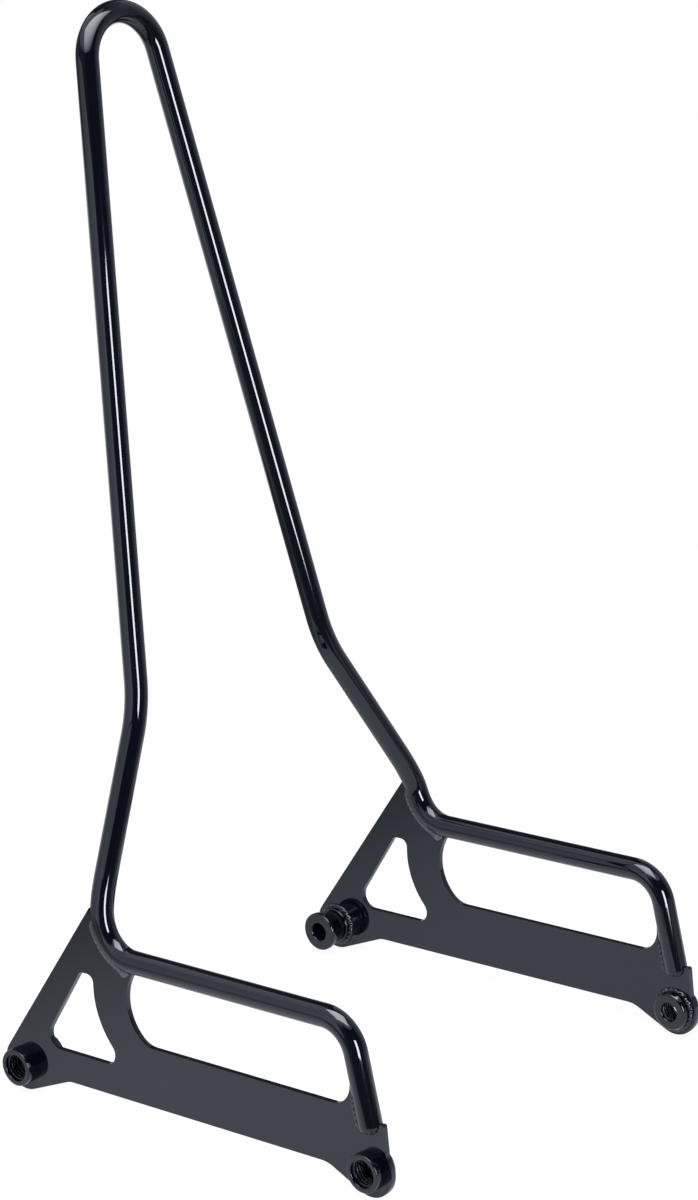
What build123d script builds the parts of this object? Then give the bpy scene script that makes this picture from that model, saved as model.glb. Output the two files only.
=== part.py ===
from build123d import *
from math import acos, asin, atan2, cos, hypot, radians, sin, sqrt, tan
import os

# Welded sissy bar: one bent round bar, two flat side plates, and a bolt bung with a spacer at each lug.
# X runs forward along the bike, Y to the left, Z up. The four lugs stand on Z = 0.
# The origin lies midway between the lugs on the centre plane.

# Bar stock and side plates
bar_dia = 12.7
plate_thickness = 3.2
plate_spacing = 260.0
lug_spacing = 249.0
lug_radius = 14.7

# Centreline of the hoop: the rear stations are measured from the rear lugs, the front ones from the front lugs
hoop_height = 578.8
arch_setback = 6.5
arch_radius = 27.1
knee_station = 50.0
knee_height = 211.8
knee_width = 151.0
knee_bend = 80.0
rail_rear_station = 69.3
rail_front_station = -9.4
rail_height = 92.0
rear_bend = 22.6
front_bend = 20.0
foot_lean = 8.0
foot_run = 0.6
foot_bend = 19.0
bar_end_station = 0.9
bar_end_height = 39.6

# Outline of a side plate
rear_edge_angle = 52.8
rear_heel_angle = 21.0
front_heel_angle = 26.0
base_height = 12.2
rear_heel_fillet = 12.0
front_heel_fillet = 18.0
nose_reach = 9.9
nose_angle = 38.0
nose_corner_fillet = 1.2
nose_fillet = 6.0
bar_fit_gap = 0.1

# Hand window, open upward to the rail
hand_window_base = 46.1
hand_window_rear_station = 82.6
hand_window_front_station = -10.5
hand_window_bulge = 13.5
hand_window_rear_fillet = 14.0
hand_window_front_fillet = 12.5

# Rear window
rear_window_base = 29.7
rear_window_drop = 13.3
rear_window_top_width = 10.3
rear_window_base_width = 68.8
rear_window_bow = 9.1
strut_width = 17.3
strut_top_width = 14.7
rear_window_heel_fillet = 7.5
rear_window_toe_fillet = 6.5
rear_window_top_fillet = 4.4

# Bungs: sleeves through the lugs that a bolt's head sinks into
bung_dia = 20.8
bung_bore_dia = 15.2
bung_fit_gap = 0.1
bung_rear_outside = 7.6
bung_front_outside = 6.2
bung_rear_inside = 3.4
bung_front_inside = 1.9
bung_weld_leg = 2.2
bung_weld_height = 1.6

# Spacers on the inner ends of the bungs, drilled for the bolt
spacer_neck_dia = 18.4
spacer_rear_length = 13.5
spacer_front_length = 3.6
spacer_flange_dia = 22.8
spacer_rear_flange = 4.2
spacer_front_flange = 2.8
spacer_front_face_dia = 20.2
bolt_hole_dia = 10.7

# Weld beads between the bar and the plates
weld_leg = 2.6
end_weld_height = 2.6
bend_weld_end_gap = 1.0
run_weld_rise = 8.5

bar_radius = bar_dia / 2
half_plate = plate_thickness / 2
half_spacing = plate_spacing / 2
half_lugs = lug_spacing / 2
rear_lug = (-half_lugs, lug_radius)
front_lug = (half_lugs, lug_radius)
rear_slope = 1 / tan(radians(rear_edge_angle))


def rear_edge_x(height):
    """X of the plate's slanted rear edge, which runs off the rear lug as a tangent."""
    lift = lug_radius * (1 + cos(radians(rear_edge_angle)))
    return -half_lugs - lug_radius * sin(radians(rear_edge_angle)) + (height - lift) * rear_slope


def side_point(point, side):
    """Point of the plate's middle plane on one side of the bike, from its X and Z."""
    return (point[0], side * half_spacing, point[1])


# Bar corners that lie in the plate's middle plane
rail_rear = (rail_rear_station - half_lugs, rail_height)
rail_front = (half_lugs + rail_front_station, rail_height)
bar_end = (half_lugs + bar_end_station, bar_end_height)
knee = (knee_station - half_lugs, knee_height)

# Unit vector along the front run, from the rail to the cut end
run_length = hypot(bar_end[0] - rail_front[0], bar_end[1] - rail_front[1])
run_x = (bar_end[0] - rail_front[0]) / run_length
run_z = (bar_end[1] - rail_front[1]) / run_length

# Unit vector up the foot from the rear bend; the foot bend turns the bar inward to the knee
rise_x = -sin(radians(foot_lean))
rise_z = cos(radians(foot_lean))
rear_turn = radians(90 - foot_lean)
foot_start = rear_bend * tan(rear_turn / 2) + foot_run
knee_dx = knee[0] - rail_rear[0] - foot_start * rise_x
knee_dy = half_spacing - knee_width / 2
knee_dz = knee[1] - rail_rear[1] - foot_start * rise_z
foot_turn = acos((knee_dx * rise_x + knee_dz * rise_z) / sqrt(knee_dx**2 + knee_dy**2 + knee_dz**2))
foot_reach = foot_start + foot_bend * tan(foot_turn / 2)
foot = (rail_rear[0] + foot_reach * rise_x, rail_rear[1] + foot_reach * rise_z)

# Where the plate's rear edge meets the line of the foot
apex_height = rail_height + (rail_rear[0] - rear_edge_x(rail_height)) / (rear_slope - rise_x / rise_z)
apex = (rear_edge_x(apex_height), apex_height)

# Centre of the rear bend, and of the circle that the hand window's rear end follows
bend_centre = (rail_rear[0] + rear_bend * tan(rear_turn / 2), rail_height + rear_bend)
window_rear_x = hand_window_rear_station - half_lugs
window_front_x = half_lugs + hand_window_front_station
window_mid = (hand_window_base + rail_height) / 2
window_half = (rail_height - hand_window_base) / 2
window_radius = (window_half**2 + hand_window_bulge**2) / (2 * hand_window_bulge)
window_centre = (window_rear_x + window_radius, window_mid)

# Upper hoop: both legs lie in one leaning plane and run into the arch as tangents
arch_dx = -arch_setback - knee_station
arch_dz = hoop_height - bar_radius - knee_height
lean_length = hypot(arch_dx, arch_dz)
lean_x = arch_dx / lean_length
lean_z = arch_dz / lean_length
arch_centre = lean_length - arch_radius
leg_angle = acos(arch_radius / hypot(knee_width / 2, arch_centre)) - atan2(arch_centre, knee_width / 2)
leg_top_y = arch_radius * cos(leg_angle)
leg_top_s = arch_centre + arch_radius * sin(leg_angle)


def leaning_point(across, along):
    """Point of the leaning plane, from its distance across and its distance up from the knees."""
    return (knee[0] + along * lean_x, across, knee[1] + along * lean_z)


def leg_points(side):
    """Corner points of one side of the hoop, from the cut end up to the arch."""
    return [
        side_point(bar_end, side),
        side_point(rail_front, side),
        side_point(rail_rear, side),
        side_point(foot, side),
        leaning_point(side * knee_width / 2, 0),
        leaning_point(side * leg_top_y, leg_top_s),
    ]


leg_bends = [front_bend, rear_bend, foot_bend, knee_bend]

# Hoop bar
with BuildPart() as hoop_bar:
    with BuildLine() as hoop_line:
        FilletPolyline(*leg_points(-1), radius=leg_bends)
        ThreePointArc(
            leaning_point(-leg_top_y, leg_top_s),
            leaning_point(0, lean_length),
            leaning_point(leg_top_y, leg_top_s),
        )
        FilletPolyline(*reversed(leg_points(1)), radius=list(reversed(leg_bends)))
    with BuildSketch(Plane(origin=side_point(bar_end, -1), z_dir=(-run_x, 0, -run_z))):
        Circle(bar_radius)
    sweep(path=hoop_line.wire())


def lug_plane(side, lug_x, depth):
    """Plane across a lug's axis, its normal pointing inward, a depth inside the plate's inner face."""
    origin = (lug_x, side * (half_spacing - half_plate - depth), lug_radius)
    return Plane(origin=origin, x_dir=(1, 0, 0), z_dir=(0, -side, 0))


def plate_profile():
    """Outline of a side plate in X and Z, with its two windows."""
    nose_tip = (bar_end[0] - nose_reach * run_z, bar_end[1] + nose_reach * run_x)
    nose_foot = (
        half_lugs + lug_radius * cos(radians(nose_angle)),
        lug_radius + lug_radius * sin(radians(nose_angle)),
    )
    front_heel = (
        half_lugs - lug_radius * sin(radians(front_heel_angle)),
        lug_radius - lug_radius * cos(radians(front_heel_angle)),
    )
    rear_heel = (
        -half_lugs + lug_radius * sin(radians(rear_heel_angle)),
        lug_radius - lug_radius * cos(radians(rear_heel_angle)),
    )
    base_front = (front_heel[0] - (base_height - front_heel[1]) / tan(radians(front_heel_angle)), base_height)
    base_rear = (rear_heel[0] + (base_height - rear_heel[1]) / tan(radians(rear_heel_angle)), base_height)
    rear_top = lug_radius * (1 + cos(radians(rear_edge_angle)))

    window_end_x = window_rear_x + hand_window_bulge
    hand_rear = (window_end_x, hand_window_base)
    hand_front = (window_front_x, hand_window_base)

    strut_x = strut_width / sin(radians(rear_edge_angle))
    strut_top_x = strut_top_width / sin(radians(rear_edge_angle))
    rear_window_top = rail_height - rear_window_drop
    tri_heel = (rear_edge_x(rear_window_base) + strut_x, rear_window_base)
    tri_toe = (tri_heel[0] + rear_window_base_width, rear_window_base)
    tri_top_rear = (rear_edge_x(rear_window_top) + strut_top_x, rear_window_top)
    tri_top_front = (tri_top_rear[0] + rear_window_top_width, rear_window_top)
    tri_side = hypot(tri_toe[0] - tri_top_front[0], tri_toe[1] - tri_top_front[1])
    tri_bow = (
        (tri_toe[0] + tri_top_front[0]) / 2 - rear_window_bow * (rear_window_top - rear_window_base) / tri_side,
        (tri_toe[1] + tri_top_front[1]) / 2 - rear_window_bow * (tri_toe[0] - tri_top_front[0]) / tri_side,
    )

    with BuildSketch() as profile:
        with BuildLine():
            bar_line = FilletPolyline(apex, rail_rear, rail_front, bar_end, radius=[rear_bend, front_bend])
            Polyline(
                bar_end,
                nose_tip,
                nose_foot,
                front_heel,
                base_front,
                base_rear,
                rear_heel,
                (rear_edge_x(rear_top), rear_top),
                apex,
            )
        make_face()
        with Locations(rear_lug, front_lug):
            Circle(lug_radius)
        fillet(profile.vertices().sort_by_distance(base_rear)[0], rear_heel_fillet)
        fillet(profile.vertices().sort_by_distance(base_front)[0], front_heel_fillet)
        fillet(profile.vertices().sort_by_distance(nose_foot)[0], nose_fillet)
        fillet(profile.vertices().sort_by_distance(nose_tip)[0], nose_corner_fillet)
        with BuildLine():
            Polyline((window_end_x, rail_height), (window_front_x, rail_height), hand_front, hand_rear)
            ThreePointArc(hand_rear, (window_rear_x, window_mid), (window_end_x, rail_height))
        make_face(mode=Mode.SUBTRACT)
        trace(bar_line, line_width=bar_dia + 2 * bar_fit_gap, mode=Mode.SUBTRACT)
        fillet(profile.vertices().sort_by_distance(hand_rear)[0], hand_window_rear_fillet)
        fillet(profile.vertices().sort_by_distance(hand_front)[0], hand_window_front_fillet)
        with BuildLine():
            Polyline(tri_top_front, tri_top_rear, tri_heel, tri_toe)
            ThreePointArc(tri_toe, tri_bow, tri_top_front)
        make_face(mode=Mode.SUBTRACT)
        fillet(profile.vertices().sort_by_distance(tri_heel)[0], rear_window_heel_fillet)
        fillet(profile.vertices().sort_by_distance(tri_toe)[0], rear_window_toe_fillet)
        fillet(profile.vertices().sort_by_distance(tri_top_front)[0], rear_window_top_fillet)
        fillet(profile.vertices().sort_by_distance(tri_top_rear)[0], rear_window_top_fillet)
    return profile.sketch


def side_plate(side):
    """Flat plate on the bar's own middle plane, with a ring bead round each bung on its inner face."""
    hole_radius = bung_dia / 2 + bung_fit_gap
    bead_align = (Align.CENTER, Align.CENTER, Align.MIN)
    with BuildPart() as plate:
        with BuildSketch(Plane.XZ.offset(-side * half_spacing)):
            add(plate_profile())
        extrude(amount=half_plate, both=True)
        with Locations(lug_plane(side, -half_lugs, 0), lug_plane(side, half_lugs, 0)):
            Cone(hole_radius + bung_weld_leg, hole_radius, bung_weld_height, align=bead_align)
            Hole(hole_radius)
    return plate.part


def bung(side, lug_x, inside, outside):
    """Sleeve through a lug, open to the spacer, so that the bolt's head sinks into it."""
    with BuildPart() as sleeve:
        with BuildSketch(lug_plane(side, lug_x, inside)):
            Circle(bung_dia / 2)
            Circle(bung_bore_dia / 2, mode=Mode.SUBTRACT)
        extrude(amount=-(inside + plate_thickness + outside))
    return sleeve.part


def spacer(side, lug_x, inside, length, flange, face_dia):
    """Turned spacer on the inner end of a bung: a neck and an end flange that seats on the mount."""
    axis_plane = lug_plane(side, lug_x, 0)
    end = inside + length
    with BuildPart() as turned:
        with BuildSketch(Plane(origin=axis_plane.origin, x_dir=(1, 0, 0), z_dir=(0, 0, -side))):
            with BuildLine():
                Polyline(
                    (bolt_hole_dia / 2, inside),
                    (spacer_neck_dia / 2, inside),
                    (spacer_neck_dia / 2, end - flange),
                    (spacer_flange_dia / 2, end - flange),
                    (face_dia / 2, end),
                    (bolt_hole_dia / 2, end),
                    close=True,
                )
            make_face()
        revolve(axis=Axis(axis_plane.origin, axis_plane.z_dir))
    return turned.part


def bead_section(face):
    """Bead section between the round bar and one face of the plate; X points from the bar to the plate."""
    low = asin(half_plate / bar_radius)
    middle = low + weld_leg / bar_radius / 2
    root = (bar_radius - half_plate * sin(middle)) / cos(middle)
    toe = bar_radius + bar_fit_gap + weld_leg
    crest_x = bar_radius * cos(middle) - weld_leg / 2 * sin(middle)
    crest_y = bar_radius * sin(middle) + weld_leg / 2 * cos(middle)
    with BuildSketch() as section:
        with BuildLine():
            Polyline((root, face * half_plate), (toe, face * half_plate), (crest_x, face * crest_y), close=True)
        make_face()
    return section.sketch


def bend_point(angle, side):
    """Point of the bar's centreline on the rear bend, by its angle back from the rail."""
    return side_point((bend_centre[0] - rear_bend * sin(angle), bend_centre[1] - rear_bend * cos(angle)), side)


def bend_weld(side, face):
    """Bead along the outside of the rear bend, from the plate's apex to the hand window."""
    toe_radius = rear_bend + bar_radius + bar_fit_gap + weld_leg
    end_gap = bend_weld_end_gap / toe_radius

    # Angle at which the bead's toe runs off the rear edge of the plate, or the bend ends
    edge_distance = (bend_centre[0] - rear_edge_x(bend_centre[1])) * sin(radians(rear_edge_angle))
    upper = min(radians(rear_edge_angle) + acos(edge_distance / toe_radius), rear_turn) - end_gap

    # Angle at which the bead's toe runs off the hand window
    apart = hypot(window_centre[0] - bend_centre[0], window_centre[1] - bend_centre[1])
    towards = atan2(bend_centre[0] - window_centre[0], bend_centre[1] - window_centre[1])
    meet = acos((toe_radius**2 + apart**2 - window_radius**2) / (2 * toe_radius * apart))
    lower = towards + meet + end_gap

    with BuildPart() as bead:
        with BuildLine() as bead_line:
            ThreePointArc(bend_point(upper, side), bend_point((upper + lower) / 2, side), bend_point(lower, side))
        with BuildSketch(
            Plane(
                origin=bend_point(upper, side),
                x_dir=(-sin(upper), 0, -cos(upper)),
                z_dir=(cos(upper), 0, -sin(upper)),
            )
        ):
            add(bead_section(face))
        sweep(path=bead_line.wire())
    return bead.part


def run_weld(side, face):
    """Bead along the rear of the front run, up from the cut end of the bar."""
    length = (hand_window_base + run_weld_rise - bar_end_height) / -run_z
    with BuildPart() as bead:
        with BuildSketch(
            Plane(origin=side_point(bar_end, side), x_dir=(run_z, 0, -run_x), z_dir=(run_x, 0, run_z))
        ):
            add(bead_section(face))
        extrude(amount=-length)
    return bead.part


def end_weld(side, face):
    """Bead across the cut end of the bar, on the floor of the plate's notch."""
    crest = half_plate + end_weld_height
    with BuildPart() as bead:
        with BuildSketch(
            Plane(origin=side_point(bar_end, side), x_dir=(run_x, 0, run_z), z_dir=(-run_z, 0, run_x))
        ):
            with BuildLine():
                Polyline((0, face * half_plate), (0, face * crest), (weld_leg, face * half_plate), close=True)
            make_face()
        extrude(amount=sqrt(bar_radius**2 - crest**2), both=True)
    return bead.part


pieces = {"hoop_bar": hoop_bar.part}
for side_name, side in (("right", -1), ("left", 1)):
    pieces[f"{side_name}_side_plate"] = side_plate(side)
    pieces[f"{side_name}_rear_bung"] = bung(side, -half_lugs, bung_rear_inside, bung_rear_outside)
    pieces[f"{side_name}_rear_spacer"] = spacer(
        side, -half_lugs, bung_rear_inside, spacer_rear_length, spacer_rear_flange, spacer_flange_dia
    )
    pieces[f"{side_name}_front_bung"] = bung(side, half_lugs, bung_front_inside, bung_front_outside)
    pieces[f"{side_name}_front_spacer"] = spacer(
        side, half_lugs, bung_front_inside, spacer_front_length, spacer_front_flange, spacer_front_face_dia
    )
    for face_name, face in (("outer", side), ("inner", -side)):
        pieces[f"{side_name}_{face_name}_bend_weld"] = bend_weld(side, face)
        pieces[f"{side_name}_{face_name}_run_weld"] = run_weld(side, face)
        pieces[f"{side_name}_{face_name}_end_weld"] = end_weld(side, face)

os.makedirs("parts", exist_ok=True)
for name, piece in pieces.items():
    piece.label = name
    export_step(piece, f"parts/{name}.step")
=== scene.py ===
import bmesh
import bpy
from math import asin, cos, pi, radians, sin, tan
from mathutils import Matrix, Vector


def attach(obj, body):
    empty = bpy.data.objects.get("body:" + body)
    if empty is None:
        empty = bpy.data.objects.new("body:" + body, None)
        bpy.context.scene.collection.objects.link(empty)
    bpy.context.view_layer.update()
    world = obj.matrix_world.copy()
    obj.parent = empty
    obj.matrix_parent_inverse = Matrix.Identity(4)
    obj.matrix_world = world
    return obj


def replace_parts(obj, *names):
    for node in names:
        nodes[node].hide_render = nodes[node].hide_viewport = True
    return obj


# Sizes are in metres and angles in degrees, in the frame of the solids: X forward, Y left, Z up.
# The lugs stand on Z = 0.

# Camera
VIEW_AZIMUTH = 41.793
VIEW_ELEVATION = 15.176
VIEW_ROLL = 3.100
VIEW_AIM = (0.0105, 0.0037, 0.2646)
VIEW_DISTANCE = 1.9417
LENS = 109.33
SENSOR = 36.0

# Floor: a round table top, whose reflection in the gloss coat fades to the rear and to the front
FLOOR_RADIUS = 0.65
FLOOR_CENTRE = (-0.31, 0.18)
FLOOR_SIDES = 128
FLOOR_ALBEDO = 0.14
FLOOR_GLOW = 0.91
FLOOR_TONE = (0.92, 0.96, 1.06, 1.0)
FLOOR_REAR = {"way": (-1.0, 0.0, 0.0), "span": (0.06, 0.42), "levels": (0.92, 0.08)}
FLOOR_FRONT = {"way": (0.69, -0.72, 0.0), "span": (0.2, 0.36), "levels": (1.0, 0.15)}

# Studio walls, and cards nearer the object.
# Each goes from one level to the other over its span along the axis.
WALL_STEPS = 24
WALL_TONE = (0.95, 0.975, 1.06, 1.0)
WALL_RADIUS = 2.8
CARD_RADIUS = 0.85
FRONT_CARD_RADIUS = 0.5
WALLS = {
    "low_wall": {
        "azimuths": (-180, 120),
        "heights": (-4.5, -1.0),
        "axis": "Z",
        "span": (-2.0, -1.0),
        "levels": (0.1, 0.2),
    },
    "left_wall": {
        "azimuths": (-195, -70),
        "heights": (-1.0, 2.1),
        "axis": "X",
        "span": (-2.8, 0.96),
        "levels": (0.22, 0.12),
    },
    "high_wall": {
        "azimuths": (-195, -80),
        "heights": (2.1, 4.6),
        "axis": "Z",
        "span": (2.1, 2.6),
        "levels": (0.85, 1.1),
    },
    "front_card": {
        "azimuths": (9, 42),
        "heights": (0.0, 0.13),
        "axis": "Z",
        "span": (0.0, 0.13),
        "levels": (0.6, 0.45),
        "radius": FRONT_CARD_RADIUS,
    },
    "rear_card": {
        "azimuths": (-195, -150),
        "heights": (-0.3, 0.45),
        "axis": "Y",
        "span": (-0.35, 0.1),
        "levels": (0.6, 1.35),
        "radius": CARD_RADIUS,
    },
    "side_card": {
        "azimuths": (-150, -86),
        "heights": (0.1, 0.7),
        "axis": "X",
        "span": (-0.74, -0.1),
        "levels": (0.7, 1.3),
        "radius": CARD_RADIUS,
    },
    "low_card": {
        "azimuths": (-150, -86),
        "heights": (-0.3, 0.1),
        "axis": "X",
        "span": (-0.55, -0.1),
        "levels": (0.68, 0.25),
        "radius": CARD_RADIUS,
    },
    "dark_wall": {
        "azimuths": (-70, 36),
        "heights": (-1.0, 3.4),
        "axis": "Z",
        "span": (0.3, 1.3),
        "levels": (0.11, 0.05),
    },
    "grey_wall": {
        "azimuths": (36, 120),
        "heights": (-1.0, 3.2),
        "axis": "X",
        "span": (2.27, 0.72),
        "levels": (0.3, 0.56),
    },
    "side_ceiling": {
        "azimuths": (36, 120),
        "heights": (3.2, 9.0),
        "axis": "Z",
        "span": (3.2, 9.0),
        "levels": (0.3, 0.1),
    },
    "back_ceiling": {
        "azimuths": (120, 165),
        "heights": (0.35, 9.0),
        "axis": "Z",
        "span": (0.35, 9.0),
        "levels": (0.07, 0.05),
    },
}

# Soft boxes and fill
STRIP_PLACE = (1.576, -0.653, 0.423)
STRIP_TARGET = (-0.1, 0.0, 0.423)
STRIP_SIZE = (0.48, 0.894)
STRIP_POWER = 31.0
TOP_PLACE = (0.173, -0.159, 0.88)
TOP_TARGET = (0.173, -0.159, 0.0)
TOP_SIZE = (0.61, 0.71)
TOP_TURN = -46.0
TOP_POWER = 6.0
TOP_SPREAD = 130.0
FULL_SPREAD = 180.0
LAMP_COLOUR = (1.0, 0.98, 0.93)
WORLD_FILL = 0.8
WHITE = (1.0, 1.0, 1.0, 1.0)

# Gloss black coat
COAT_COLOUR = (0.0008, 0.0011, 0.0038, 1.0)
# Plates: the bar's coat painted lighter and bluer, a painted sheen for the light on their flat faces
PLATE_COLOUR_PAINTED_SHEEN = (0.0022, 0.0030, 0.0066, 1.0)
# Paler base of the rear bend beads: a painted highlight, standing in for the bright line of light along them
PAINTED_BEAD_HIGHLIGHT_COLOUR = (0.085, 0.096, 0.125, 1.0)
COAT_IOR = 1.535
COAT_TINT = (0.84, 0.89, 1.0, 1.0)
COAT_ROUGHNESS = 0.05
GLOSS_SPREAD = 0.3
CLOUD_SIZE = 0.025
PEEL_SIZE = 0.0022
PEEL_DETAIL = 1.0
PEEL_HEIGHT = 0.0000008
TURNING_PITCH = 0.0007
TURNING_HEIGHT = 0.000005
TURNING_DISTORTION = 1.5
TURNING_DETAIL = 2.0
TURNING_DETAIL_SCALE = 0.6

# Length of one wave of Blender's wave texture at scale 1
WAVE_PERIOD = 0.314

# Edge rounding of the solids
EDGE_BEVEL = 0.00035
BUNG_BEVEL = 0.0006
REAR_SPACER_BEVEL = 0.0010
FRONT_SPACER_BEVEL = 0.0014
BEVEL_SEGMENTS = 4
BEVEL_ANGLE = 40
MERGE_GAP = 0.00001

# Bar, plates and bungs that the beads join.
# The bar's end lies 2.5 mm further down the front run than the solid's.
BAR_RADIUS = 0.00635
HALF_PLATE = 0.0016
PLATE_Y = 0.130
BEND_CENTRE = (-0.03555, 0.1146)
BEND_RADIUS = 0.0226
BEND_BEAD_ANGLES = (6.0, 80.2)
BAR_END = (0.12588, 0.03715)
RUN_WAY = (0.19287, -0.98122)
RUN_BEAD_LENGTH = 0.01779
LUG_X = 0.1245
LUG_Z = 0.0147
BUNG_RADIUS = 0.0104
BORE_RADIUS = 0.0076
BUNG_ENDS = {"rear": 0.1392, "front": 0.1378}

# Centreline of the bar: the corners of its left half from the cut end up, the bends at them, and the arch
BAR_CORNERS = (
    (BAR_END[0], PLATE_Y, BAR_END[1]),
    (0.1151, PLATE_Y, 0.0920),
    (-0.0552, PLATE_Y, 0.0920),
    (-0.05869, PLATE_Y, 0.11680),
    (-0.0745, 0.0755, 0.2118),
)
BAR_BENDS = (0.0200, 0.0226, 0.0190, 0.0800)
ARCH_CORNER = (-0.15656, 0.0, 0.73558)
ARCH_BEND = 0.0271
BAR_STEP = 0.001
BAR_RING_STEPS = 2
BAR_SIDES = 48
BAR_END_CHAMFER = 0.0003

# Easing of the foot bends: the corner they are at, the reach of the average,
# and the middle of the eased stretch up the leg and its reach
FOOT_CORNER = 3
FOOT_EASE = 0.011
FOOT_LIFT = 0.014
FOOT_REACH = 0.042

# Weld beads
BEAD_LEG = 0.0027
BEAD_RISE = 0.0014
BEAD_CROWN = 0.0005
BEAD_RIPPLE = 0.0005
BEAD_POINTS = 9
END_BEAD_HEIGHT = 0.0026
RING_LEG = 0.0025
RING_HEIGHT = 0.0018
RING_CROWN = 0.0009
RIPPLE_PITCH = 0.0029
RIPPLE_DEPTH = 0.0009
RIPPLE_STEPS = 8
RIPPLE_LAG = 0.55
RIPPLE_ROUND = 0.92
LEAST_RIPPLES = 4

# Bead ends: their share of the full section, and its growth over each ripple's pitch from the end
END_SHARE = 0.55
END_GROWTH = 0.5

# Unevenness of a bead's crown: waves of a share of it, with their radians a metre and first radians
WANDER_WAVES = ((0.12, 1900, 0.0), (0.10, 870, 1.3))

# Lump near the lower end of a rear bend's bead
LUMP_SWELL = 0.45
LUMP_CROWN = 2
LUMP_PLACE = 0.0032
LUMP_REACH = 0.0036

# How far the edges and the roots of the beads lie inside what they join
EDGE_SINK = 0.0001
ROOT_SINK = 0.0003
END_ROOT_SINK = 0.0002

# Thread in the outer half of each bung's bore
THREAD_PITCH = 0.0020
THREAD_TURNS = 4
THREAD_INSET = 0.0014
THREAD_HEIGHT = 0.0010
THREAD_FLANK = 0.2
THREAD_SINK = 0.0003
THREAD_ROOT_SINK = 0.0006

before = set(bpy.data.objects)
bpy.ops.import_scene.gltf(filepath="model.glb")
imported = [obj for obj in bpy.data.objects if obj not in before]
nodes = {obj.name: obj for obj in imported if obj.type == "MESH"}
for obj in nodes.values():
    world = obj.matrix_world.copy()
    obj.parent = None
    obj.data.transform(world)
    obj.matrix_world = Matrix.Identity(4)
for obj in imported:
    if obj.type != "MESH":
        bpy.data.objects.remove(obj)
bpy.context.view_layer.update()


def link(obj):
    bpy.context.scene.collection.objects.link(obj)
    return obj


def gloss_coat(name, colour, roughness, turned=False):
    """Black gloss coat with faint orange peel, slightly uneven gloss and, if turned, turning marks."""
    material = bpy.data.materials.new(name)
    material.use_nodes = True
    tree = material.node_tree
    shader = tree.nodes["Principled BSDF"]
    shader.inputs["Base Color"].default_value = colour
    shader.inputs["IOR"].default_value = COAT_IOR
    shader.inputs["Specular Tint"].default_value = COAT_TINT

    place = tree.nodes.new("ShaderNodeTexCoord")
    peel = tree.nodes.new("ShaderNodeTexNoise")
    peel.inputs["Scale"].default_value = 1 / PEEL_SIZE
    peel.inputs["Detail"].default_value = PEEL_DETAIL
    tree.links.new(place.outputs["Object"], peel.inputs["Vector"])

    bump = tree.nodes.new("ShaderNodeBump")
    bump.inputs["Strength"].default_value = 1.0
    bump.inputs["Distance"].default_value = PEEL_HEIGHT
    tree.links.new(peel.outputs["Fac"], bump.inputs["Height"])
    tree.links.new(bump.outputs["Normal"], shader.inputs["Normal"])
    if turned:
        marks = tree.nodes.new("ShaderNodeTexWave")
        marks.bands_direction = "Y"
        marks.inputs["Scale"].default_value = WAVE_PERIOD / TURNING_PITCH
        marks.inputs["Distortion"].default_value = TURNING_DISTORTION
        marks.inputs["Detail"].default_value = TURNING_DETAIL
        marks.inputs["Detail Scale"].default_value = TURNING_DETAIL_SCALE
        tree.links.new(place.outputs["Object"], marks.inputs["Vector"])
        grooves = tree.nodes.new("ShaderNodeBump")
        grooves.inputs["Distance"].default_value = TURNING_HEIGHT
        tree.links.new(marks.outputs["Fac"], grooves.inputs["Height"])
        tree.links.new(grooves.outputs["Normal"], bump.inputs["Normal"])

    cloud = tree.nodes.new("ShaderNodeTexNoise")
    cloud.inputs["Scale"].default_value = 1 / CLOUD_SIZE
    tree.links.new(place.outputs["Object"], cloud.inputs["Vector"])
    gloss = tree.nodes.new("ShaderNodeMapRange")
    gloss.inputs["To Min"].default_value = roughness * (1 - GLOSS_SPREAD)
    gloss.inputs["To Max"].default_value = roughness * (1 + GLOSS_SPREAD)
    tree.links.new(cloud.outputs["Fac"], gloss.inputs["Value"])
    tree.links.new(gloss.outputs["Result"], shader.inputs["Roughness"])
    return material


bar_coat = gloss_coat("bar_coat_gloss", COAT_COLOUR, COAT_ROUGHNESS)
# The plates' copy of the coat, lighter and bluer than the bar's: painted sheen
painted_sheen_plate_coat = gloss_coat("painted_sheen_plate_coat_gloss", PLATE_COLOUR_PAINTED_SHEEN, COAT_ROUGHNESS)
bung_coat = gloss_coat("bung_coat_gloss", COAT_COLOUR, COAT_ROUGHNESS, turned=True)
weld_coat = gloss_coat("weld_coat_gloss", COAT_COLOUR, COAT_ROUGHNESS)
# Coat of the rear bend beads, with a painted highlight in its paler base colour
painted_highlight_weld_coat = gloss_coat("painted_highlight_weld_coat_gloss", PAINTED_BEAD_HIGHLIGHT_COLOUR, COAT_ROUGHNESS)


def coat_for(name):
    if name == "hoop_bar":
        return bar_coat
    if name.endswith("plate"):
        return painted_sheen_plate_coat
    if name.endswith("weld"):
        return weld_coat
    return bung_coat


def bevel_width(name):
    if name.endswith("rear_spacer"):
        return REAR_SPACER_BEVEL
    if name.endswith("front_spacer"):
        return FRONT_SPACER_BEVEL
    if name.endswith("bung"):
        return BUNG_BEVEL
    return EDGE_BEVEL


# Coat on every solid, and rounded edges on all but the bar
for name, node in nodes.items():
    node.data.materials.clear()
    node.data.materials.append(coat_for(name))
    if name == "hoop_bar":
        continue
    weld = node.modifiers.new("join_faces", "WELD")
    weld.merge_threshold = MERGE_GAP
    bevel = node.modifiers.new("soft_edges", "BEVEL")
    bevel.width = bevel_width(name)
    bevel.segments = BEVEL_SEGMENTS
    bevel.limit_method = "ANGLE"
    bevel.angle_limit = radians(BEVEL_ANGLE)
    bevel.harden_normals = True


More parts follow.
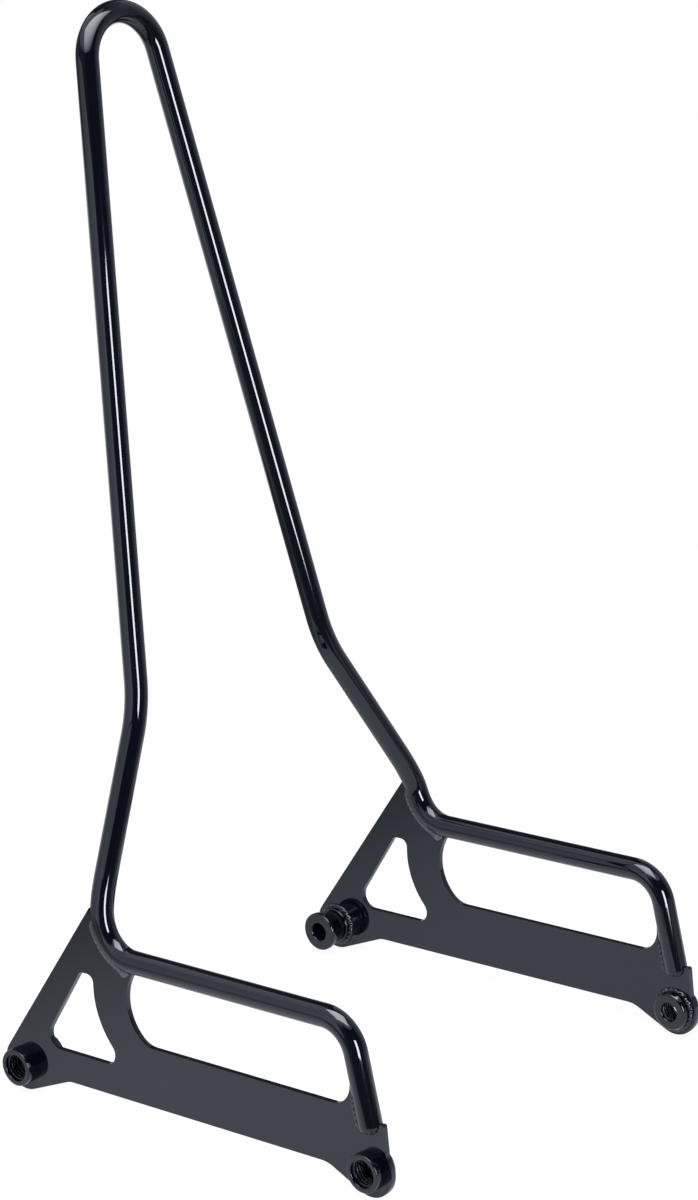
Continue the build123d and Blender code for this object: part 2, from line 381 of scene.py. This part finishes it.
def bent_line(corners, bends):
    """Points about a step apart along straight runs joined by tangent arcs."""
    points = [corners[0]]

    def run_to(end):
        start = points[-1]
        count = max(1, round((end - start).length / BAR_STEP))
        points.extend(start.lerp(end, k / count) for k in range(1, count + 1))

    for before, corner, after, bend in zip(corners, corners[1:], corners[2:], bends):
        back = (before - corner).normalized()
        ahead = (after - corner).normalized()
        half_turn = (pi - back.angle(ahead)) / 2
        middle = (back + ahead).normalized()
        along = (ahead - back).normalized()
        centre = corner + middle * bend / cos(half_turn)
        run_to(corner + back * bend * tan(half_turn))
        count = max(2, round(2 * half_turn * bend / BAR_STEP))
        for k in range(1, count + 1):
            angle = half_turn * (2 * k / count - 1)
            points.append(centre + bend * (along * sin(angle) - middle * cos(angle)))
    run_to(corners[-1])
    return points


def averaged(points, reach):
    """Each point moved to the mean of the points within a reach of it along the line."""
    near = round(reach / BAR_STEP)
    means = []
    for k in range(len(points)):
        span = min(near, k, len(points) - 1 - k)
        means.append(sum(points[k - span : k + span + 1], Vector()) / (2 * span + 1))
    return means


def eased_bar_line():
    """Centreline of the bar from the right cut end to the left, its foot bends eased into the rear bends."""
    left = [Vector(corner) for corner in BAR_CORNERS]
    right = [Vector((corner.x, -corner.y, corner.z)) for corner in left]
    corners = [*right, Vector(ARCH_CORNER), *reversed(left)]
    bends = [*BAR_BENDS, ARCH_BEND, *reversed(BAR_BENDS)]
    points = bent_line(corners, bends)
    eased = averaged(averaged(points, FOOT_EASE), FOOT_EASE)
    lift = FOOT_LIFT / (left[FOOT_CORNER + 1] - left[FOOT_CORNER]).length
    feet = [half[FOOT_CORNER].lerp(half[FOOT_CORNER + 1], lift) for half in (left, right)]
    line = []
    for point, soft in zip(points, eased):
        apart = min((point - foot).length for foot in feet)
        share = max(0.0, 1 - (apart / FOOT_REACH) ** 2) ** 2
        line.append(point.lerp(soft, share))
    return line


def round_bar(name, line):
    """Round bar along a line, with the sharp edge taken off its cut ends."""
    last = len(line) - 1
    across = Vector((0.0, 1.0, 0.0))
    rings = []
    for k in [*range(0, last, BAR_RING_STEPS), last]:
        way = (line[min(k + 1, last)] - line[max(k - 1, 0)]).normalized()
        across = (across - way * across.dot(way)).normalized()
        rings.append((line[k], across, way, BAR_RADIUS))
    cap_radius = BAR_RADIUS - BAR_END_CHAMFER
    first_cap = (*rings[0][:3], cap_radius)
    last_cap = (*rings[-1][:3], cap_radius)
    rings[0] = (rings[0][0] + rings[0][2] * BAR_END_CHAMFER, *rings[0][1:])
    rings[-1] = (rings[-1][0] - rings[-1][2] * BAR_END_CHAMFER, *rings[-1][1:])
    rings = [first_cap, *rings, last_cap]

    verts = []
    for centre, across, way, radius in rings:
        for j in range(BAR_SIDES):
            angle = 2 * pi * j / BAR_SIDES
            verts.append(centre + radius * (cos(angle) * across + sin(angle) * way.cross(across)))
    faces = []
    for k in range(len(rings) - 1):
        low = k * BAR_SIDES
        high = low + BAR_SIDES
        for j in range(BAR_SIDES):
            beside = (j + 1) % BAR_SIDES
            faces.append((low + j, low + beside, high + beside, high + j))
    faces.append(tuple(range(BAR_SIDES - 1, -1, -1)))
    faces.append(tuple(range((len(rings) - 1) * BAR_SIDES, len(rings) * BAR_SIDES)))
    mesh = bpy.data.meshes.new(name)
    mesh.from_pydata(verts, [], faces)
    mesh.shade_smooth()
    for cap in (-2, -1):
        mesh.polygons[len(faces) + cap].use_smooth = False
    mesh.materials.append(bar_coat)
    bar = link(bpy.data.objects.new(name, mesh))
    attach(bar, "root")
    return bar


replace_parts(round_bar("eased_hoop_bar", eased_bar_line()), "hoop_bar")


def bead(name, path, section, crown, depth, closed=False, swell=0.0, coat=weld_coat):
    """Rippled bead along a path.

    The path holds its length, and a function that gives the place, the way out and the way up at a share
    of it. The section holds the toe, the crest and the root, each as (out, up).
    """
    toe, crest, root = (Vector(point) for point in section)
    chord = crest - toe
    bulge = Vector((-chord.y, chord.x)).normalized()
    if bulge.dot(root - toe) > 0:
        bulge.negate()
    length = path["length"]
    rings = max(LEAST_RIPPLES, round(length / RIPPLE_PITCH)) * RIPPLE_STEPS
    count = rings if closed else rings + 1
    verts = []
    for k in range(count):
        along = k / rings
        distance = along * length
        origin, out, up = (Vector(item) for item in path["at"](along))
        size = 1.0
        if not closed:
            size = min(1.0, END_SHARE + min(along, 1 - along) * length / RIPPLE_PITCH * END_GROWTH)
        lump = swell * max(0.0, 1 - ((distance - LUMP_PLACE) / LUMP_REACH) ** 2)
        wander = sum(share * sin(distance * turn + start) for share, turn, start in WANDER_WAVES)
        full_crown = crown * (1 + wander) * (1 + LUMP_CROWN * lump)
        for j in range(BEAD_POINTS + 1):
            over = j / BEAD_POINTS
            phase = k / RIPPLE_STEPS + RIPPLE_LAG * (2 * over - 1) ** 2
            ripple = (1 - RIPPLE_ROUND * (2 * (phase % 1) - 1) ** 2) ** 0.5 - 1
            rise = (full_crown + depth * ripple) * 4 * over * (1 - over)
            point = root + (toe + chord * over - root) * size * (1 + lump) + bulge * rise
            verts.append(origin + out * point.x + up * point.y)
        verts.append(origin + out * root.x + up * root.y)
    row = BEAD_POINTS + 2
    faces = []
    for k in range(rings):
        near = k * row
        far = (k + 1) % count * row
        for j in range(row):
            beside = (j + 1) % row
            faces.append((near + j, near + beside, far + beside, far + j))
    if not closed:
        faces.append(tuple(range(row - 1, -1, -1)))
        faces.append(tuple(range(rings * row, rings * row + row)))
    mesh = bpy.data.meshes.new(name)
    mesh.from_pydata(verts, [], faces)
    shape = bmesh.new()
    shape.from_mesh(mesh)
    bmesh.ops.recalc_face_normals(shape, faces=shape.faces)
    shape.to_mesh(mesh)
    shape.free()
    mesh.shade_smooth()
    mesh.materials.append(coat)
    piece = link(bpy.data.objects.new(name, mesh))
    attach(piece, "root")
    return piece


def corner_section():
    """Section of a bead beside the bar, as (away from the bar's middle, out from the plate's middle)."""
    low = asin(HALF_PLATE / BAR_RADIUS)
    high = low + BEAD_RISE / BAR_RADIUS
    crest_radius = BAR_RADIUS - EDGE_SINK
    toe = (BAR_RADIUS + BEAD_LEG, HALF_PLATE - EDGE_SINK)
    crest = (crest_radius * cos(high), crest_radius * sin(high))
    root = ((BAR_RADIUS - ROOT_SINK) * cos(low), HALF_PLATE - ROOT_SINK)
    return toe, crest, root


def end_section():
    """Section of the bead across the cut end of the bar, as (past the end, out from the plate's middle)."""
    return (
        (BEAD_LEG, HALF_PLATE - EDGE_SINK),
        (-EDGE_SINK, HALF_PLATE + END_BEAD_HEIGHT),
        (-END_ROOT_SINK, HALF_PLATE - ROOT_SINK),
    )


def ring_section():
    """Section of the bead round a bung, as (out from the lug's axis, in from the plate's middle)."""
    return (
        (BUNG_RADIUS + RING_LEG, HALF_PLATE - EDGE_SINK),
        (BUNG_RADIUS - EDGE_SINK, HALF_PLATE + RING_HEIGHT),
        (BUNG_RADIUS - ROOT_SINK, HALF_PLATE - ROOT_SINK),
    )


def thread_section():
    """Section of the bore's thread, as (in from the bore's wall, along the lug's axis)."""
    return (
        (-THREAD_SINK, -THREAD_FLANK * THREAD_PITCH),
        (-THREAD_SINK, THREAD_FLANK * THREAD_PITCH),
        (-THREAD_ROOT_SINK, 0.0),
    )


# Beads on both faces of each plate, then the ring beads and threads of its lugs
for side_name, side in (("right", -1), ("left", 1)):
    for face_name, face in (("outer", side), ("inner", -side)):
        where = f"{side_name}_{face_name}"
        up = (0.0, face, 0.0)

        def bend_at(along):
            angle = radians(BEND_BEAD_ANGLES[0] + (BEND_BEAD_ANGLES[1] - BEND_BEAD_ANGLES[0]) * along)
            out = (-sin(angle), 0.0, -cos(angle))
            x = BEND_CENTRE[0] + BEND_RADIUS * out[0]
            z = BEND_CENTRE[1] + BEND_RADIUS * out[2]
            return (x, side * PLATE_Y, z), out, up

        sweep = radians(BEND_BEAD_ANGLES[1] - BEND_BEAD_ANGLES[0])
        path = {"at": bend_at, "length": sweep * (BEND_RADIUS + BAR_RADIUS)}
        # The rear bend beads take the coat whose paler base is a painted highlight
        bend_bead = bead(
            f"{where}_bend_bead",
            path,
            corner_section(),
            BEAD_CROWN,
            BEAD_RIPPLE,
            swell=LUMP_SWELL,
            coat=painted_highlight_weld_coat,
        )
        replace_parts(bend_bead, f"{where}_bend_weld")

        def run_at(along):
            back = RUN_BEAD_LENGTH * (1 - along)
            place = (BAR_END[0] - RUN_WAY[0] * back, side * PLATE_Y, BAR_END[1] - RUN_WAY[1] * back)
            return place, (RUN_WAY[1], 0.0, -RUN_WAY[0]), up

        path = {"at": run_at, "length": RUN_BEAD_LENGTH}
        run_bead = bead(f"{where}_run_bead", path, corner_section(), RING_CROWN, RIPPLE_DEPTH)
        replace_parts(run_bead, f"{where}_run_weld")

        reach = (BAR_RADIUS**2 - (HALF_PLATE + END_BEAD_HEIGHT) ** 2) ** 0.5

        def end_at(along):
            across = reach * (2 * along - 1)
            place = (BAR_END[0] - RUN_WAY[1] * across, side * PLATE_Y, BAR_END[1] + RUN_WAY[0] * across)
            return place, (RUN_WAY[0], 0.0, RUN_WAY[1]), up

        path = {"at": end_at, "length": 2 * reach}
        end_bead = bead(f"{where}_end_bead", path, end_section(), RING_CROWN, RIPPLE_DEPTH)
        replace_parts(end_bead, f"{where}_end_weld")

    for lug_name, lug_x in (("rear", -LUG_X), ("front", LUG_X)):
        inward = (0.0, -side, 0.0)

        def ring_at(along):
            angle = 2 * pi * along
            return (lug_x, side * PLATE_Y, LUG_Z), (cos(angle), 0.0, sin(angle)), inward

        path = {"at": ring_at, "length": 2 * pi * BUNG_RADIUS}
        ring_name = f"{side_name}_{lug_name}_ring_bead"
        bead(ring_name, path, ring_section(), RING_CROWN, RIPPLE_DEPTH, closed=True)

        def thread_at(along):
            angle = 2 * pi * THREAD_TURNS * along
            way = (cos(angle), 0.0, sin(angle))
            y = side * (BUNG_ENDS[lug_name] - THREAD_INSET - THREAD_PITCH * THREAD_TURNS * along)
            place = (lug_x + BORE_RADIUS * way[0], y, LUG_Z + BORE_RADIUS * way[2])
            return place, (-way[0], 0.0, -way[2]), inward

        path = {"at": thread_at, "length": 2 * pi * BORE_RADIUS * THREAD_TURNS}
        thread_name = f"{side_name}_{lug_name}_bore_thread"
        bead(thread_name, path, thread_section(), THREAD_HEIGHT, 0.0, coat=bung_coat)


def combined(tree, operation, first, second):
    """Two values put together by a math node."""
    node = tree.nodes.new("ShaderNodeMath")
    node.operation = operation
    tree.links.new(first, node.inputs[0])
    tree.links.new(second, node.inputs[1])
    return node.outputs["Value"]


def faded(tree, value, span, levels, smooth=False):
    """Level that goes from one to the other over a span of a value."""
    fade = tree.nodes.new("ShaderNodeMapRange")
    if smooth:
        fade.interpolation_type = "SMOOTHSTEP"
    for socket, number in zip(("From Min", "From Max", "To Min", "To Max"), (*span, *levels)):
        fade.inputs[socket].default_value = number
    tree.links.new(value, fade.inputs["Value"])
    return fade.outputs["Result"]


def camera_rays(tree):
    """1 for camera rays, 0 for the others."""
    return tree.nodes.new("ShaderNodeLightPath").outputs["Is Camera Ray"]


def seen_rays(tree):
    """1 for camera, glossy and transmission rays, 0 for the light that falls on the object."""
    path = tree.nodes.new("ShaderNodeLightPath")
    total = path.outputs["Is Camera Ray"]
    for ray in ("Is Glossy Ray", "Is Transmission Ray"):
        total = combined(tree, "MAXIMUM", total, path.outputs[ray])
    return total


def floor_fade(tree, way, span, levels):
    """Level that falls smoothly along a way across the floor."""
    ahead = tree.nodes.new("ShaderNodeVectorMath")
    ahead.operation = "DOT_PRODUCT"
    ahead.inputs[1].default_value = way
    tree.links.new(tree.nodes.new("ShaderNodeTexCoord").outputs["Object"], ahead.inputs[0])
    return faded(tree, ahead.outputs["Value"], span, levels, smooth=True)


# World: white where it is seen, a plain fill where it lights the object
world = bpy.data.worlds.new("studio")
bpy.context.scene.world = world
world.use_nodes = True
fill = world.node_tree.nodes["Background"]
fill.inputs["Color"].default_value = WHITE
level = faded(world.node_tree, seen_rays(world.node_tree), (0.0, 1.0), (WORLD_FILL, 1.0))
world.node_tree.links.new(level, fill.inputs["Strength"])

# Floor: a matt table top that takes the shadow, with a glow that makes it white to the camera
rim = []
for k in range(FLOOR_SIDES):
    angle = 2 * pi * k / FLOOR_SIDES
    x = FLOOR_CENTRE[0] + FLOOR_RADIUS * cos(angle)
    y = FLOOR_CENTRE[1] + FLOOR_RADIUS * sin(angle)
    rim.append((x, y, 0.0))
floor_mesh = bpy.data.meshes.new("floor")
floor_mesh.from_pydata(rim, [], [list(range(FLOOR_SIDES))])
floor = link(bpy.data.objects.new("floor", floor_mesh))
floor_paint = bpy.data.materials.new("floor_white")
floor_paint.use_nodes = True
tree = floor_paint.node_tree
tree.nodes.remove(tree.nodes["Principled BSDF"])
matt = tree.nodes.new("ShaderNodeBsdfDiffuse")
matt.inputs["Color"].default_value = (FLOOR_ALBEDO, FLOOR_ALBEDO, FLOOR_ALBEDO, 1.0)
glow = tree.nodes.new("ShaderNodeEmission")
cast = tree.nodes.new("ShaderNodeMix")
cast.data_type = "RGBA"
cast.inputs["A"].default_value = FLOOR_TONE
cast.inputs["B"].default_value = WHITE
tree.links.new(camera_rays(tree), cast.inputs["Factor"])
tree.links.new(cast.outputs["Result"], glow.inputs["Color"])
fades = combined(tree, "MULTIPLY", floor_fade(tree, **FLOOR_REAR), floor_fade(tree, **FLOOR_FRONT))
unfaded_to_camera = combined(tree, "MAXIMUM", camera_rays(tree), fades)
strength = tree.nodes.new("ShaderNodeMath")
strength.operation = "MULTIPLY"
strength.inputs[1].default_value = FLOOR_GLOW
tree.links.new(combined(tree, "MULTIPLY", seen_rays(tree), unfaded_to_camera), strength.inputs[0])
tree.links.new(strength.outputs["Value"], glow.inputs["Strength"])
both = tree.nodes.new("ShaderNodeAddShader")
tree.links.new(matt.outputs["BSDF"], both.inputs[0])
tree.links.new(glow.outputs["Emission"], both.inputs[1])
tree.links.new(both.outputs["Shader"], tree.nodes["Material Output"].inputs["Surface"])
floor_mesh.materials.append(floor_paint)


def studio_wall(name, azimuths, heights, axis, span, levels, radius=WALL_RADIUS):
    """Curved wall that the gloss coat reflects and the camera doesn't see, its level ramped along an axis."""
    verts = []
    faces = []
    for k in range(WALL_STEPS + 1):
        angle = radians(azimuths[0] + (azimuths[1] - azimuths[0]) * k / WALL_STEPS)
        for z in heights:
            verts.append((radius * cos(angle), radius * sin(angle), z))
        if k:
            faces.append((2 * k - 2, 2 * k, 2 * k + 1, 2 * k - 1))
    mesh = bpy.data.meshes.new(name)
    mesh.from_pydata(verts, [], faces)
    wall = link(bpy.data.objects.new(name, mesh))
    paint = bpy.data.materials.new(name)
    paint.use_nodes = True
    tree = paint.node_tree
    tree.nodes.remove(tree.nodes["Principled BSDF"])
    tone = tree.nodes.new("ShaderNodeEmission")
    tone.inputs["Color"].default_value = WALL_TONE
    split = tree.nodes.new("ShaderNodeSeparateXYZ")
    tree.links.new(tree.nodes.new("ShaderNodeTexCoord").outputs["Object"], split.inputs["Vector"])
    tree.links.new(faded(tree, split.outputs[axis], span, levels), tone.inputs["Strength"])
    tree.links.new(tone.outputs["Emission"], tree.nodes["Material Output"].inputs["Surface"])
    mesh.materials.append(paint)
    wall.visible_camera = False


for wall_name, wall in WALLS.items():
    studio_wall(wall_name, **wall)


def soft_box(name, place, target, size, power, turn=0.0, spread=FULL_SPREAD):
    """Area light turned to a point of the object, and about its own axis."""
    lamp = bpy.data.lights.new(name, "AREA")
    lamp.shape = "RECTANGLE"
    lamp.size, lamp.size_y = size
    lamp.energy = power
    lamp.color = LAMP_COLOUR
    lamp.spread = radians(spread)
    box = link(bpy.data.objects.new(name, lamp))
    box.location = place
    aim = (Vector(target) - Vector(place)).to_track_quat("-Z", "Y").to_matrix()
    box.rotation_euler = (aim @ Matrix.Rotation(radians(turn), 3, "Z")).to_euler()
    box.visible_camera = False


soft_box("strip_box", STRIP_PLACE, STRIP_TARGET, STRIP_SIZE, STRIP_POWER)
soft_box("top_box", TOP_PLACE, TOP_TARGET, TOP_SIZE, TOP_POWER, TOP_TURN, TOP_SPREAD)

# Camera at the photograph's angle
azimuth = radians(VIEW_AZIMUTH)
elevation = radians(VIEW_ELEVATION)
forward = Vector((-sin(azimuth) * cos(elevation), cos(azimuth) * cos(elevation), -sin(elevation)))
camera_data = bpy.data.cameras.new("camera")
camera_data.lens = LENS
camera_data.sensor_width = SENSOR
camera_data.sensor_height = SENSOR
camera = link(bpy.data.objects.new("camera", camera_data))
turn = forward.to_track_quat("-Z", "Y").to_matrix().to_4x4()
roll = Matrix.Rotation(radians(-VIEW_ROLL), 4, "Z")
camera.matrix_world = Matrix.Translation(Vector(VIEW_AIM) - VIEW_DISTANCE * forward) @ turn @ roll
bpy.context.scene.camera = camera

bpy.context.scene.view_settings.view_transform = "Standard"
